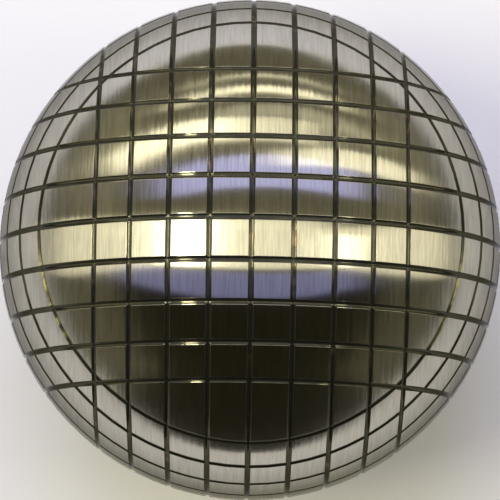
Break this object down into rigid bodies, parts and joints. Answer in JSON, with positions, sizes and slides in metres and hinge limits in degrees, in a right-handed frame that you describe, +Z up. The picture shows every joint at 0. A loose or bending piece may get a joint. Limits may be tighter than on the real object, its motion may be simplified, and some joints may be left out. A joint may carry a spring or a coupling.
{
  "type": "petanque ball",
  "caption": "Hollow steel petanque ball, polished and turned all over with fine crossing ring grooves for grip, thrown by hand to land close to a small wooden target ball",
  "frame": {"origin": "centre of the ball", "axes": "+Z up through the crossing of two middle grooves; the three sets of ring grooves run about X, Y and Z; the fine turning lines run about X"},
  "size_m": [0.073, 0.073, 0.073],
  "materials": {
    "steel": "polished on a lathe, with fine turning lines and darker grooves"
  },
  "bodies": {
    "root": {"ball": "steel"}
  },
  "joints": []
}
